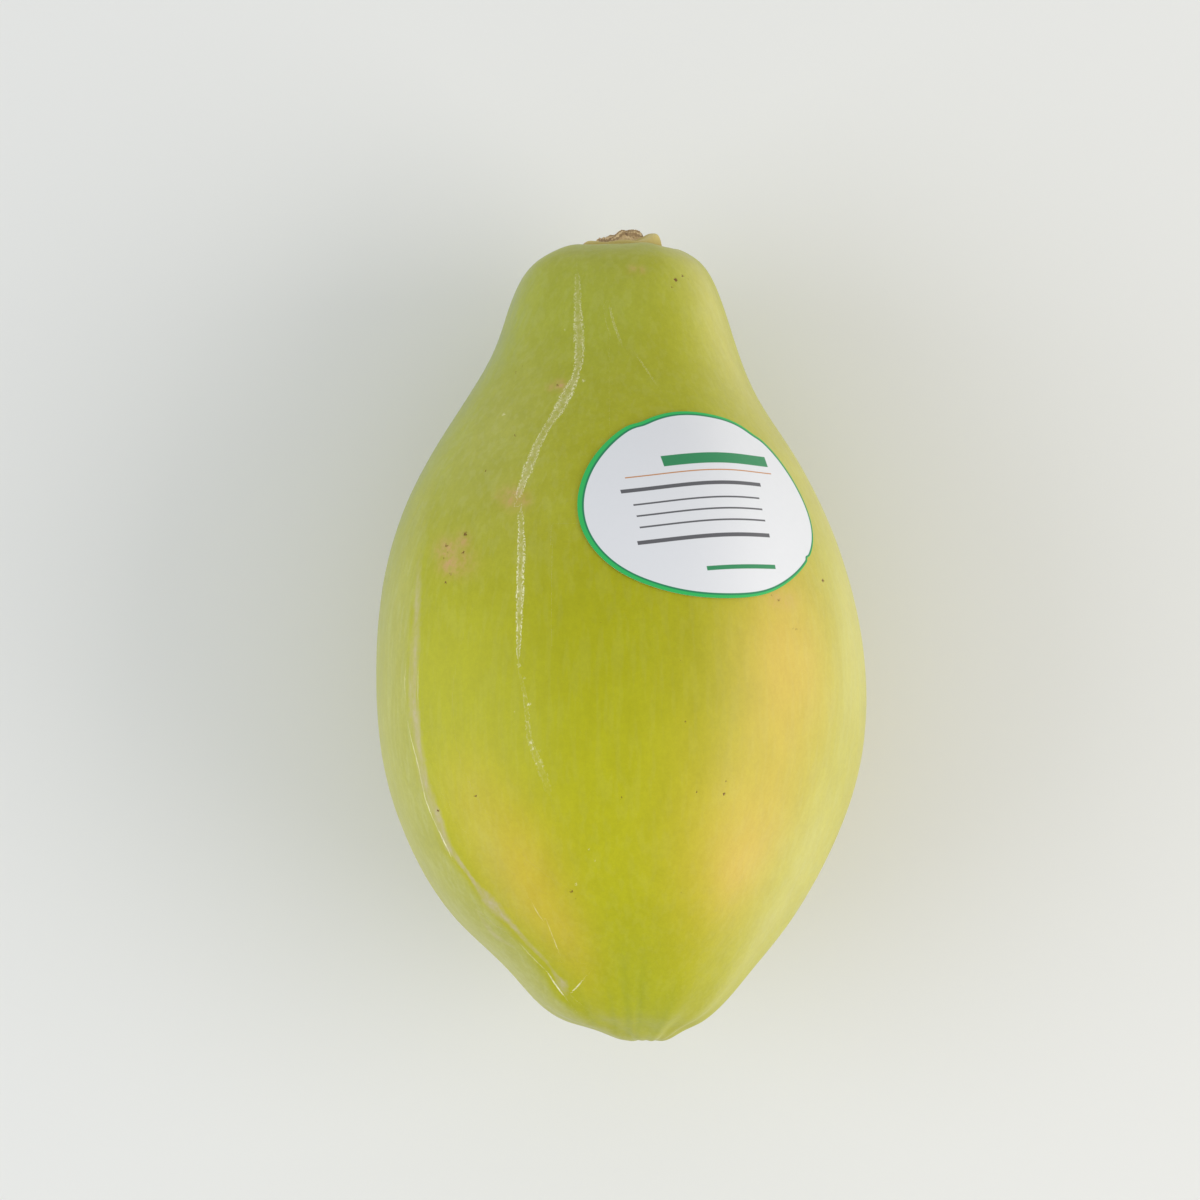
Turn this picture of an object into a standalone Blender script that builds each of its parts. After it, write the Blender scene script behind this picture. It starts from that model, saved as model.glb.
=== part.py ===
"""A small green-yellow papaya lying on its side, with the dry stub of its stalk and an oval paper label.

Blender 4.5. Metres, +Z up. The stem end points to +Y and the blossom end to -Y. The fruit lies on a small flat
spot in the plane Z = 0, and the origin is in that plane, under the middle of the object's box.
"""

import math

import bmesh
import bpy
import numpy as np
from mathutils import Vector

# Driving dimensions of the fruit.
FRUIT_LENGTH = 0.1352
FRUIT_RADIUS = 0.04165
SIDES = 72

# How it lies: the neck end hangs lower, because the weight is nearer the neck than the widest girth is.
TILT = math.radians(7.0)
AXIS_HEIGHT = 0.0398
BOX_MIDDLE_ALONG = 0.0664

# The stem end's face leans back a little at the top. The lean fades out over this distance along the neck.
END_LEAN = 0.075
LEAN_REACH = 0.016

# Stations from the floor of the stem hollow, over its rim, neck, waist and widest girth, to the nose.
# Each is (distance along, radius, sideways bend, ridge height, nose fold height). The first is a share of
# the fruit's length, and the others are shares of its largest radius.
STATIONS = (
    (0.0150, 0.000, -0.008, 0.000, 0.000),
    (0.0142, 0.110, -0.008, 0.001, 0.000),
    (0.0070, 0.166, -0.009, 0.002, 0.000),
    (0.0000, 0.206, -0.006, 0.004, 0.000),
    (0.0055, 0.284, -0.010, 0.005, 0.000),
    (0.0200, 0.352, -0.018, 0.006, 0.000),
    (0.0530, 0.418, -0.023, 0.006, 0.000),
    (0.1250, 0.499, -0.024, 0.006, 0.000),
    (0.1910, 0.601, -0.038, 0.007, 0.000),
    (0.2545, 0.728, -0.037, 0.009, 0.000),
    (0.3240, 0.844, -0.036, 0.013, 0.000),
    (0.4200, 0.945, -0.031, 0.018, 0.000),
    (0.5515, 0.991, -0.022, 0.021, 0.000),
    (0.6640, 0.953, -0.026, 0.023, 0.000),
    (0.7580, 0.846, -0.027, 0.023, 0.000),
    (0.8530, 0.661, -0.007, 0.017, 0.001),
    (0.9155, 0.480, 0.027, 0.009, 0.001),
    (0.9600, 0.348, 0.036, 0.005, 0.003),
    (0.9745, 0.278, 0.046, 0.004, 0.004),
    (0.9880, 0.165, 0.074, 0.003, 0.004),
    (1.0000, 0.062, 0.092, 0.001, 0.001),
    (0.9970, 0.000, 0.095, 0.000, 0.000),
)

# Five ridges run from end to end. The drift sets them unevenly round the fruit, from the one at the ridge turn.
RIDGES = 5
RIDGE_TURN = math.radians(27.0)
RIDGE_DRIFT = 0.93
RIDGE_SHARPNESS = 0.30

# Slow unevenness of the skin. Each row is (waves round the fruit, turn along it, start, share of the height).
LUMP_HEIGHT = 0.00035
LUMPS = (
    (2, 5.2, 0.6, 1.0),
    (3, -8.5, 2.1, 0.7),
    (7, 13.0, 0.0, 0.25),
)

# Clearance between solids that touch on the real thing.
GAP = 0.0003

# The stalk stub stands in the stem hollow: a torn stalk in the middle and five calyx lobes round it.
# Each lobe is (turn from the top in degrees, height), and each tear (waves round the stalk, start, height).
# Shares are of the way from the stub's middle to its edge.
STUB_RADIUS = 0.0063
STUB_SIDES = 48
STUB_RINGS = 14
STUB_FOOT_SHARE = 0.55
STUB_BULGE = 0.45
LOBES = ((76, 0.0027), (8, 0.0010), (-58, 0.0012), (-132, 0.0011), (150, 0.0013))
LOBE_WIDTH = math.radians(32)
LOBE_MIDDLE = 0.80
LOBE_REACH = 0.21
STALK_SHARE = 0.62
STALK_EDGE = 0.035
STALK_RISE = 0.0034
STALK_SLOPE = 0.0020
STALK_FALL = 0.0032
STALK_TEARS = ((3, 0.9, 0.00045), (7, 0.6, 0.00030))
PITH_SHARE = 0.26
PITH_DEPTH = 0.0008

# The label is stuck on the upper right of the fruit. Each stop of its edge is (angle in degrees from its
# right-hand end, distance from its middle). Two blunt corners bound a top edge that is set in at its ends.
LABEL_EDGE = (
    (-169, 0.0236),
    (-150, 0.0224),
    (-132, 0.0199),
    (-115, 0.0181),
    (-90, 0.0168),
    (-60, 0.0174),
    (-42, 0.0188),
    (-26, 0.0211),
    (-14, 0.0232),
    (-3, 0.0242),
    (14, 0.0230),
    (38, 0.0208),
    (58, 0.0193),
    (80, 0.0176),
    (100, 0.0177),
    (125, 0.0186),
    (150, 0.0200),
    (172, 0.0222),
)
LABEL_THICKNESS = 0.0004
LABEL_ALONG = 0.0488
LABEL_TURN = math.radians(26.2)
LABEL_RINGS = 9
LABEL_SIDES = 72
CORNER_DEPTH = 0.0007
CORNERS_MIDDLE = math.radians(86.5)
CORNERS_APART = math.radians(77)
CORNER_SHARPNESS = 0.05

# Each material's colour and roughness.
SKIN_FINISH = ((0.42, 0.42, 0.04), 0.42)
STALK_FINISH = ((0.33, 0.20, 0.09), 0.80)
PAPER_FINISH = ((0.80, 0.80, 0.81), 0.35)
SHARP_EDGE = math.radians(40)


def cubic_spline(knots, values, at):
    """The smoothest curve through values at the knots, and its slope, read at the places in at."""
    gaps = np.diff(knots)
    slopes = np.diff(values, axis=0) / gaps[:, None]
    count = len(knots)
    system = np.eye(count)
    right = np.zeros_like(values)
    for i in range(1, count - 1):
        system[i, i - 1 : i + 2] = gaps[i - 1], 2 * (gaps[i - 1] + gaps[i]), gaps[i]
        right[i] = 6 * (slopes[i] - slopes[i - 1])
    bend = np.linalg.solve(system, right)
    i = np.clip(np.searchsorted(knots, at, side="right") - 1, 0, count - 2)
    gap = gaps[i][..., None]
    after = (at - knots[i])[..., None]
    before = gap - after
    low, high = bend[i], bend[i + 1]
    start = values[i] / gap - low * gap / 6
    end = values[i + 1] / gap - high * gap / 6
    place = (low * before**3 + high * after**3) / (6 * gap) + start * before + end * after
    slope = (high * after**2 - low * before**2) / (2 * gap) + end - start
    return place, slope


def profile_knots():
    """Walking distance of each station over the skin, and the stations in metres, mirrored past both poles."""
    scale = np.array([FRUIT_LENGTH] + [FRUIT_RADIUS] * 4)
    rows = np.array(STATIONS) * scale
    flipped = rows * np.array([1, -1, 1, 1, 1])
    rows = np.concatenate([flipped[3:0:-1], rows, flipped[-2:-5:-1]])
    steps = np.linalg.norm(np.diff(rows[:, :2], axis=0), axis=1)
    walk = np.concatenate([[0], np.cumsum(steps)])
    return walk - walk[3], rows


KNOTS, ROWS = profile_knots()
SKIN_WALK = KNOTS[-4]


def lumps(along, turn):
    """How far the slow unevenness raises the skin, which keeps the fruit from looking turned on a lathe."""
    share = along / FRUIT_LENGTH
    height = np.zeros_like(share + turn)
    for waves, along_turn, start, part in LUMPS:
        height = height + part * np.sin(waves * turn + along_turn * share + start)
    return LUMP_HEIGHT * height * np.sin(math.pi * share)


def lean(along, height):
    """How far the stem end's leaning face sets back a point at this height over the fruit's axis."""
    return END_LEAN * height * np.exp(-((along / LEAN_REACH) ** 2))


def skin(walk, turn, lift=0.0):
    """Points on the skin, lift above it. walk is the distance over the skin from the stem hollow's centre, and
    turn the angle from the top of the lying fruit, towards +X."""
    place, slope = cubic_spline(KNOTS, ROWS, walk)
    along, radius, sideways, ridge, fold = np.moveaxis(place, -1, 0)
    steepness = np.hypot(slope[..., 0], slope[..., 1])
    normal_along = -slope[..., 1] / steepness
    normal_out = slope[..., 0] / steepness
    from_ridge = turn - RIDGE_TURN
    phase = RIDGES * from_ridge + RIDGE_DRIFT * (1 - np.cos(from_ridge))
    height = ridge * np.cos(phase) + (RIDGE_SHARPNESS * ridge + fold) * np.cos(2 * phase)
    height = height + lumps(along, turn) + lift
    out = radius + normal_out * height
    return np.stack(
        [
            out * np.sin(turn) + sideways,
            BOX_MIDDLE_ALONG - along - normal_along * height - lean(along, out * np.cos(turn)),
            out * np.cos(turn),
        ],
        axis=-1,
    )


def walk_at(along):
    """The walking distance at which the skin past the rim has come this far along the fruit."""
    walk = np.linspace(0, SKIN_WALK, 2000)
    reached = cubic_spline(KNOTS, ROWS, walk)[0][:, 0]
    past_rim = reached.argmin()
    return float(np.interp(along, reached[past_rim:], walk[past_rim:]))


def even_rings():
    """Walking distances of the rings: about as far apart as each ring's points are from each other."""
    walk = np.linspace(0, SKIN_WALK, 4000)
    radius = cubic_spline(KNOTS, ROWS, walk)[0][:, 1]
    smallest = 0.12 * FRUIT_RADIUS
    closeness = 1 / (radius + smallest)
    grown = np.concatenate([[0], np.cumsum((closeness[1:] + closeness[:-1]) / 2 * np.diff(walk))])
    count = round(SIDES * grown[-1] / (2 * math.pi))
    return np.interp(np.linspace(0, grown[-1], count + 1), grown, walk)[1:-1]


def material(name, colour, roughness):
    """A Principled BSDF with one colour and roughness, for a surface with no metal in it."""
    made = bpy.data.materials.new(name)
    made.use_nodes = True
    shader = made.node_tree.nodes["Principled BSDF"]
    shader.inputs["Base Color"].default_value = (*colour, 1.0)
    shader.inputs["Roughness"].default_value = roughness
    shader.inputs["Metallic"].default_value = 0.0
    made.diffuse_color = (*colour, 1.0)
    return made


def add_object(name, mesh_builder, finish, parent):
    """An object made from a bmesh, smooth shaded, in its parent's frame."""
    mesh = bpy.data.meshes.new(name)
    mesh_builder.to_mesh(mesh)
    mesh_builder.free()
    mesh.shade_smooth()
    mesh.set_sharp_from_angle(angle=SHARP_EDGE)
    mesh.materials.append(finish)
    made = bpy.data.objects.new(name, mesh)
    bpy.context.scene.collection.objects.link(made)
    made.parent = parent
    return made


def lofted(rings, first_pole, last_pole):
    """A bmesh skin over closed rings of points, each end closed by a fan to its pole."""
    built = bmesh.new()
    rows = [[built.verts.new(p) for p in ring] for ring in rings]
    sides = len(rows[0])
    for near, far in zip(rows, rows[1:]):
        for i in range(sides):
            j = (i + 1) % sides
            built.faces.new((near[i], near[j], far[j], far[i]))
    for row, pole in ((rows[0], first_pole), (rows[-1], last_pole)):
        tip = built.verts.new(pole)
        for i in range(sides):
            built.faces.new((tip, row[i], row[(i + 1) % sides]))
    bmesh.ops.recalc_face_normals(built, faces=built.faces)
    return built


def clear_scene():
    """Leaves an empty scene to build in."""
    for old in list(bpy.data.objects):
        bpy.data.objects.remove(old)


def make_resting_frame():
    """The empty that carries the fruit: it tips the stem end down and lifts the axis above the surface."""
    frame = bpy.data.objects.new("lying_fruit", None)
    frame.location = (0, 0, AXIS_HEIGHT)
    frame.rotation_euler = (-TILT, 0, 0)
    bpy.context.scene.collection.objects.link(frame)
    bpy.context.view_layer.update()
    return frame


def make_fruit(frame):
    """The fruit: flesh and skin grown as one piece, cut flat where it lies."""
    turns = np.arange(SIDES) * 2 * math.pi / SIDES
    rings = [skin(np.full(SIDES, walk), turns) for walk in even_rings()]
    hollow = skin(np.array([0.0]), np.array([0.0]))[0]
    nose = skin(np.array([SKIN_WALK]), np.array([0.0]))[0]
    built = lofted(rings, hollow, nose)
    to_fruit = frame.matrix_world.inverted()
    down = (to_fruit.to_3x3() @ Vector((0, 0, -1))).normalized()
    cut = bmesh.ops.bisect_plane(
        built,
        geom=built.verts[:] + built.edges[:] + built.faces[:],
        dist=1e-6,
        plane_co=to_fruit @ Vector((0, 0, 0)),
        plane_no=down,
        clear_outer=True,
    )
    edges = [e for e in cut["geom_cut"] if isinstance(e, bmesh.types.BMEdge)]
    bmesh.ops.contextual_create(built, geom=edges)
    bmesh.ops.recalc_face_normals(built, faces=built.faces)
    return add_object("papaya_fruit", built, material("papaya_skin", *SKIN_FINISH), frame)


def turned_from(turn, other):
    """The angle between two turns, the short way round."""
    return np.abs((turn - other + math.pi) % (2 * math.pi) - math.pi)


def stub_height(share, turn):
    """Height of the stub's outer face over the rim's plane, at a share of the way from its middle to its edge."""
    inside = np.clip(1 - ((share - LOBE_MIDDLE) / LOBE_REACH) ** 2, 0, 1)
    lobes = 0.0
    for at, rise in LOBES:
        lobes = lobes + rise * np.exp(-((turned_from(turn, math.radians(at)) / LOBE_WIDTH) ** 2))
    torn = STALK_RISE + STALK_SLOPE * share * np.sin(turn) - STALK_FALL * share**2
    for count, start, size in STALK_TEARS:
        torn = torn + share * size * np.sin(count * turn + start)
    torn = torn - PITH_DEPTH * np.exp(-((share / PITH_SHARE) ** 4))
    stalk = 1 / (1 + np.exp((share - STALK_SHARE) / STALK_EDGE))
    return stalk * torn + (1 - stalk) * lobes * inside


def make_stub(frame):
    """The dry stub of the stalk with the calyx remains, standing in the stem hollow."""
    turns = np.arange(STUB_SIDES) * 2 * math.pi / STUB_SIDES
    girth = STUB_RADIUS * np.ones(STUB_SIDES)
    for at, rise in LOBES:
        girth = girth + STUB_BULGE * rise * np.exp(-((turned_from(turns, math.radians(at)) / LOBE_WIDTH) ** 2))
    middle_x = STATIONS[0][2] * FRUIT_RADIUS

    def ring(share, height):
        """Points at a share of the girth, height above the rim's plane."""
        across = middle_x + share * girth * np.sin(turns)
        up = share * girth * np.cos(turns)
        return np.stack([across, BOX_MIDDLE_ALONG + height - lean(0.0, up), up], axis=-1)

    deepest = GAP - STATIONS[0][0] * FRUIT_LENGTH
    foot = ring(STUB_FOOT_SHARE, np.full(STUB_SIDES, deepest))
    brim = ring(1.0, np.full(STUB_SIDES, -GAP / 2))
    shares = np.linspace(1, 0, STUB_RINGS + 1)[:-1]
    outer = [ring(share, stub_height(share, turns)) for share in shares]
    foot_pole = (middle_x, BOX_MIDDLE_ALONG + deepest, 0.0)
    outer_pole = (middle_x, BOX_MIDDLE_ALONG + float(stub_height(0.0, 0.0)), 0.0)
    built = lofted([foot, brim] + outer, foot_pole, outer_pole)
    return add_object("stem_stub", built, material("dry_stalk", *STALK_FINISH), frame)


def label_outline(turn):
    """Distance from the label's middle to its edge, at an angle from its right-hand end."""
    stops = np.array(LABEL_EDGE)
    round_again = np.concatenate([stops[-3:] - (360, 0), stops, stops[:3] + (360, 0)])
    within_turn = (turn + math.pi) % (2 * math.pi) - math.pi
    oval = cubic_spline(np.radians(round_again[:, 0]), round_again[:, 1:], within_turn)[0][..., 0]
    to_corner = turned_from(turn, CORNERS_MIDDLE) / (CORNERS_APART / 2)
    between = 1 / (1 + np.exp((to_corner - 1) / CORNER_SHARPNESS))
    return oval - CORNER_DEPTH * to_corner**2 * between


def label_points(share, turn, lift):
    """Points of the label at a share of the way to its edge, wrapped round the fruit."""
    reach = share * label_outline(turn)
    right = reach * np.cos(turn)
    up = reach * np.sin(turn)
    walk = walk_at(LABEL_ALONG) - up
    radius = cubic_spline(KNOTS, ROWS, walk)[0][..., 1]
    return skin(walk, LABEL_TURN + right / radius, lift)


def make_label(frame):
    """The paper label, a thin skin that follows the fruit."""
    turns = np.arange(LABEL_SIDES) * 2 * math.pi / LABEL_SIDES
    shares = np.linspace(0, 1, LABEL_RINGS + 1)[1:]
    lifts = (GAP, GAP + LABEL_THICKNESS)
    under, over = ([label_points(np.full(LABEL_SIDES, s), turns, lift) for s in shares] for lift in lifts)
    middle = [label_points(np.array([0.0]), np.array([0.0]), lift)[0] for lift in lifts]
    built = lofted(under + over[::-1], *middle)
    return add_object("label", built, material("label_paper", *PAPER_FINISH), frame)


clear_scene()
resting_frame = make_resting_frame()
make_fruit(resting_frame)
make_stub(resting_frame)
make_label(resting_frame)
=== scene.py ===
"""A small papaya lying on its side, with the dry stub of its stalk and an oval paper label."""

import math

import bpy
import numpy as np
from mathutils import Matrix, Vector, noise
from mathutils.kdtree import KDTree


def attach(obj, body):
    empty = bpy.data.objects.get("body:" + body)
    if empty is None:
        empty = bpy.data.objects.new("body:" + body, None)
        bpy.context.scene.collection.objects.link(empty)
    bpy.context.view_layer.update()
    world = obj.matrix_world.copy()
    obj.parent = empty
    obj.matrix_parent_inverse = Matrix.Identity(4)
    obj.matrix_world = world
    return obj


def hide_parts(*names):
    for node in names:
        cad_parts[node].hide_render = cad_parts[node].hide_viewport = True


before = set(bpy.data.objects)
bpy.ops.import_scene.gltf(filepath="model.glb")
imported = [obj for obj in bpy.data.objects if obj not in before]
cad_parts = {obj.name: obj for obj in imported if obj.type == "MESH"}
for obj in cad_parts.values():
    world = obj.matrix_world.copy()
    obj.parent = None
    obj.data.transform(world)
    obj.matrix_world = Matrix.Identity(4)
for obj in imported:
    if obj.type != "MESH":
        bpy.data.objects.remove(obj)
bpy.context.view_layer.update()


# The papaya: firm flesh under a thin waxy skin that is ripening from green to yellow, grown as one piece.
# Five low ridges run from the narrow neck to the folds at the blossom end. It lies on its side, neck down,
# on a small flat spot.

FRUIT_LENGTH = 0.1352
FRUIT_RADIUS = 0.04165
FRUIT_TILT = math.radians(7.0)
AXIS_HEIGHT = 0.0398
BOX_MIDDLE_ALONG = 0.0664
END_LEAN = 0.075
LEAN_REACH = 0.016

# Stations from the stem hollow to the nose: (along, radius, sideways bend, ridge height, nose fold height).
# The first is a share of the fruit's length, and the others are shares of its largest radius.
STATIONS = (
    (0.0150, 0.000, -0.008, 0.000, 0.000),
    (0.0142, 0.110, -0.008, 0.001, 0.000),
    (0.0070, 0.166, -0.009, 0.002, 0.000),
    (0.0000, 0.206, -0.006, 0.004, 0.000),
    (0.0055, 0.284, -0.010, 0.005, 0.000),
    (0.0200, 0.352, -0.018, 0.006, 0.000),
    (0.0530, 0.418, -0.023, 0.006, 0.000),
    (0.1250, 0.499, -0.024, 0.006, 0.000),
    (0.1910, 0.601, -0.038, 0.007, 0.000),
    (0.2545, 0.728, -0.037, 0.009, 0.000),
    (0.3240, 0.844, -0.036, 0.013, 0.000),
    (0.4200, 0.945, -0.031, 0.018, 0.000),
    (0.5515, 0.991, -0.022, 0.021, 0.000),
    (0.6640, 0.953, -0.026, 0.023, 0.000),
    (0.7580, 0.846, -0.027, 0.023, 0.000),
    (0.8530, 0.661, -0.007, 0.017, 0.001),
    (0.9155, 0.480, 0.027, 0.009, 0.001),
    (0.9600, 0.348, 0.036, 0.005, 0.003),
    (0.9745, 0.278, 0.046, 0.004, 0.004),
    (0.9880, 0.165, 0.074, 0.003, 0.004),
    (1.0000, 0.062, 0.092, 0.001, 0.001),
    (0.9970, 0.000, 0.095, 0.000, 0.000),
)
MIRRORED = 3
RIDGES = 5
RIDGE_TURN = math.radians(27.0)
RIDGE_DRIFT = 0.93
RIDGE_SHARPNESS = 0.30
LUMP_HEIGHT = 0.00035
LUMPS = ((2, 5.2, 0.6, 1.0), (3, -8.5, 2.1, 0.7), (7, 13.0, 0.0, 0.25))

SKIN_SIDES = 720
SKIN_RINGS = 500
SKIN_INSET = 0.00009
MM = 1000


def cubic_spline(knots, values, at):
    """The smoothest curve through values at the knots, and its slope, read at the places in at."""
    gaps = np.diff(knots)
    slopes = np.diff(values, axis=0) / gaps[:, None]
    count = len(knots)
    system = np.eye(count)
    right = np.zeros_like(values)
    for i in range(1, count - 1):
        system[i, i - 1 : i + 2] = gaps[i - 1], 2 * (gaps[i - 1] + gaps[i]), gaps[i]
        right[i] = 6 * (slopes[i] - slopes[i - 1])
    bend = np.linalg.solve(system, right)
    i = np.clip(np.searchsorted(knots, at, side="right") - 1, 0, count - 2)
    gap = gaps[i][..., None]
    after = (at - knots[i])[..., None]
    before = gap - after
    low, high = bend[i], bend[i + 1]
    start = values[i] / gap - low * gap / 6
    end = values[i + 1] / gap - high * gap / 6
    place = (low * before**3 + high * after**3) / (6 * gap) + start * before + end * after
    slope = (high * after**2 - low * before**2) / (2 * gap) + end - start
    return place, slope


def profile_knots():
    """How far each station is from the first, walked over the skin, and the stations in metres. Both have
    a few mirrored stations past each pole."""
    rows = np.array(STATIONS) * np.array([FRUIT_LENGTH] + [FRUIT_RADIUS] * 4)
    flipped = rows * np.array([1, -1, 1, 1, 1])
    rows = np.concatenate([flipped[MIRRORED:0:-1], rows, flipped[-2 : -2 - MIRRORED : -1]])
    steps = np.linalg.norm(np.diff(rows[:, :2], axis=0), axis=1)
    walk = np.concatenate([[0], np.cumsum(steps)])
    return walk - walk[MIRRORED], rows


KNOTS, ROWS = profile_knots()
SKIN_WALK = KNOTS[-1 - MIRRORED]


def lying(points):
    """The points moved from the fruit's own frame to where it lies."""
    x, y, z = np.moveaxis(points, -1, 0)
    level, steep = math.cos(FRUIT_TILT), math.sin(FRUIT_TILT)
    return np.stack([x, level * y + steep * z, level * z - steep * y + AXIS_HEIGHT], axis=-1)


def skin(walk, turn, lift=0.0):
    """Points on the lying fruit's skin, lift above it. walk is the distance over the skin from the middle of
    the stem hollow, and turn the angle from the top, towards +X."""
    place, slope = cubic_spline(KNOTS, ROWS, walk)
    along, radius, sideways, ridge, fold = np.moveaxis(place, -1, 0)
    steepness = np.hypot(slope[..., 0], slope[..., 1])
    from_ridge = turn - RIDGE_TURN
    phase = RIDGES * from_ridge + RIDGE_DRIFT * (1 - np.cos(from_ridge))
    height = ridge * np.cos(phase) + (RIDGE_SHARPNESS * ridge + fold) * np.cos(2 * phase) + lift
    share = along / FRUIT_LENGTH
    for waves, along_turn, start, part in LUMPS:
        wave = part * np.sin(waves * turn + along_turn * share + start)
        height = height + LUMP_HEIGHT * wave * np.sin(math.pi * share)
    out = radius + slope[..., 0] / steepness * height
    up = out * np.cos(turn)
    lean = END_LEAN * up * np.exp(-((along / LEAN_REACH) ** 2))
    back = BOX_MIDDLE_ALONG - along + slope[..., 1] / steepness * height - lean
    return lying(np.stack([out * np.sin(turn) + sideways, back, up], axis=-1))


def closed_mesh(name, rings, first_pole, last_pole, values):
    """A smooth closed mesh over rings of points, with a fan to a pole at each end. values are numbers at the
    points, by name, with one row for each ring; the poles take those of the nearest ring."""
    count, sides = rings.shape[:2]
    points = np.concatenate([rings.reshape(-1, 3), [first_pole, last_pole]])
    here = np.arange(count * sides).reshape(count, sides)
    near, far = here[:-1], here[1:]
    quads = np.stack([near, np.roll(near, -1, 1), np.roll(far, -1, 1), far], axis=-1).reshape(-1, 4)
    first = [(len(points) - 2, here[0, i - 1], here[0, i]) for i in range(sides)]
    last = [(len(points) - 1, here[-1, i], here[-1, i - 1]) for i in range(sides)]
    mesh = bpy.data.meshes.new(name)
    mesh.from_pydata(points, [], quads[:, ::-1].tolist() + [f[::-1] for f in first + last])
    mesh.shade_smooth()
    for key, rows in values.items():
        layer = mesh.attributes.new(key, "FLOAT", "POINT")
        layer.data.foreach_set("value", np.concatenate([rows.ravel(), [rows[0].mean(), rows[-1].mean()]]))
    made = bpy.data.objects.new(name, mesh)
    bpy.context.scene.collection.objects.link(made)
    return made


def smooth_step(value, low, high):
    """0 below low, 1 above high, and a smooth change between."""
    share = np.clip((value - low) / (high - low), 0, 1)
    return share * share * (3 - 2 * share)


def rough_noise(points, size, octaves=2):
    """Seamless noise at the points, about -1 to 1, with features of this size."""
    flat = (points.reshape(-1, 3) / size).tolist()
    values = [noise.fractal(Vector(p), 1.0, 2.0, octaves) for p in flat]
    return np.array(values).reshape(points.shape[:-1])


def turned_from(turn, other):
    """The angle between two turns, the short way round."""
    return np.abs((turn - other + math.pi) % (2 * math.pi) - math.pi)


def patches(turn, points, spots):
    """How strongly soft patches of the skin cover each point. Each spot is (turn and place along the fruit,
    half width and half length, strength), in degrees and millimetres."""
    bare = np.ones(turn.shape)
    for at_turn, at_along, half_turn, half_along, strength in spots:
        across = turned_from(turn, math.radians(at_turn)) / math.radians(half_turn)
        along = (points[..., 1] * MM - at_along) / half_along
        bare = bare * (1 - strength * np.exp(-(across**2) - along**2))
    return 1 - bare


# Where the skin has ripened to pale apricot and warm yellow, and where it is still green or lime. Milky
# patches and pale patches are wax bloom and riper rind with a painted sheen and painted light, and the darker
# bluish patches are painted shade.
APRICOT_SPOTS = (
    (46, -5, 21, 22, 0.90),
    (43, -34, 18, 14, 0.80),
    (37, -38, 8, 5, 0.50),
    (150, -18, 26, 22, 0.6),
    (-150, 8, 24, 20, 0.4),
)
YELLOW_SPOTS = (
    (-29, -39.5, 12.5, 11, 0.85),
    (-37, -27, 11, 9, 0.28),
    (-24, -49, 11, 8, 0.45),
    (25, -32, 14, 18, 0.30),
    (100, -25, 22, 22, 0.4),
    (-110, -30, 24, 18, 0.3),
)
# Green patches. The one at -78 degrees darkens the left shoulder, a painted shade.
GREEN_AND_SHADE_SPOTS = (
    (4, -57, 14, 9, 0.55),
    (-24, 58, 50, 17, 0.55),
    (-40, 30, 16, 14, 0.30),
    (-78, 42, 26, 26, 0.70),
    (22, -62, 16, 6, 0.45),
    (180, 45, 50, 22, 0.6),
)
LIME_SPOTS = (
    (0, -32, 70, 24, 0.75),
    (-40, -6, 20, 20, 0.45),
    (0, -56, 60, 14, 0.50),
    (180, -30, 70, 26, 0.60),
)
# Wax bloom with a painted sheen, on the left flank and along the rims at the neck and the nose.
BLOOM_SHEEN_SPOTS = (
    (-50, 34, 24, 20, 0.30),
    (0, 62, 60, 8, 0.22),
    (-30, 30, 20, 16, 0.25),
    (-41, 31, 14, 13, 0.45),
    (-55, 58, 26, 12, 0.15),
    (-24, 18, 16, 10, 0.15),
    (5, 46, 36, 18, 0.18),
    (10, 66.5, 80, 3.0, 0.50),
)
NOSE_BLOOM_SHEEN = ((0, -68.8, 180, 2.6, 0.95),)
# Paler rind, mostly on the right, partly riper skin and partly painted light from the right.
PALE_AND_LIT_SPOTS = (
    (82, 0, 26, 40, 0.90),
    (72, -42, 24, 20, 0.75),
    (62, 50, 22, 22, 0.75),
    (78, 28, 20, 18, 0.50),
    (-37, -38, 6, 11, 0.22),
)
# Painted shade: a darker bluish green, mostly on the left shoulder and neck.
PAINTED_SHADE_SPOTS = (
    (-86, 30, 24, 28, 0.75),
    (-80, 54, 26, 16, 0.60),
    (92, -10, 16, 50, 0.13),
)

# The milky left flank, wax bloom lightened by a painted sheen, begins at the left ridge. Each stop is (y, x,
# softness), in millimetres, from nose to neck. Under the fruit the edge blurs and the flank fades away, and
# it is fainter towards the neck.
FLANK_EDGE = (
    (-69.0, 9.0, 3.0),
    (-67.0, 1.0, 3.0),
    (-64.5, -5.5, 2.0),
    (-60.0, -11.0, 0.9),
    (-52.6, -15.4, 1.5),
    (-44.4, -22.4, 1.4),
    (-35.6, -28.9, 1.3),
    (-23.3, -33.1, 1.0),
    (-11.0, -35.0, 0.8),
    (2.4, -34.8, 0.9),
    (12.6, -33.4, 1.6),
    (22.8, -30.4, 2.4),
    (31.3, -26.6, 2.6),
    (39.8, -22.6, 2.0),
    (51.7, -18.0, 1.6),
    (66.0, -14.0, 1.6),
)
FLANK_BLUR = 7
FLANK_BLUR_TURNS = (1.6, 2.1)
FLANK_FADE_TURNS = (1.6, 2.5)
FLANK_NECK_LOSS = 0.50
FLANK_NECK_PLACES = (-4, 32)
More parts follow.
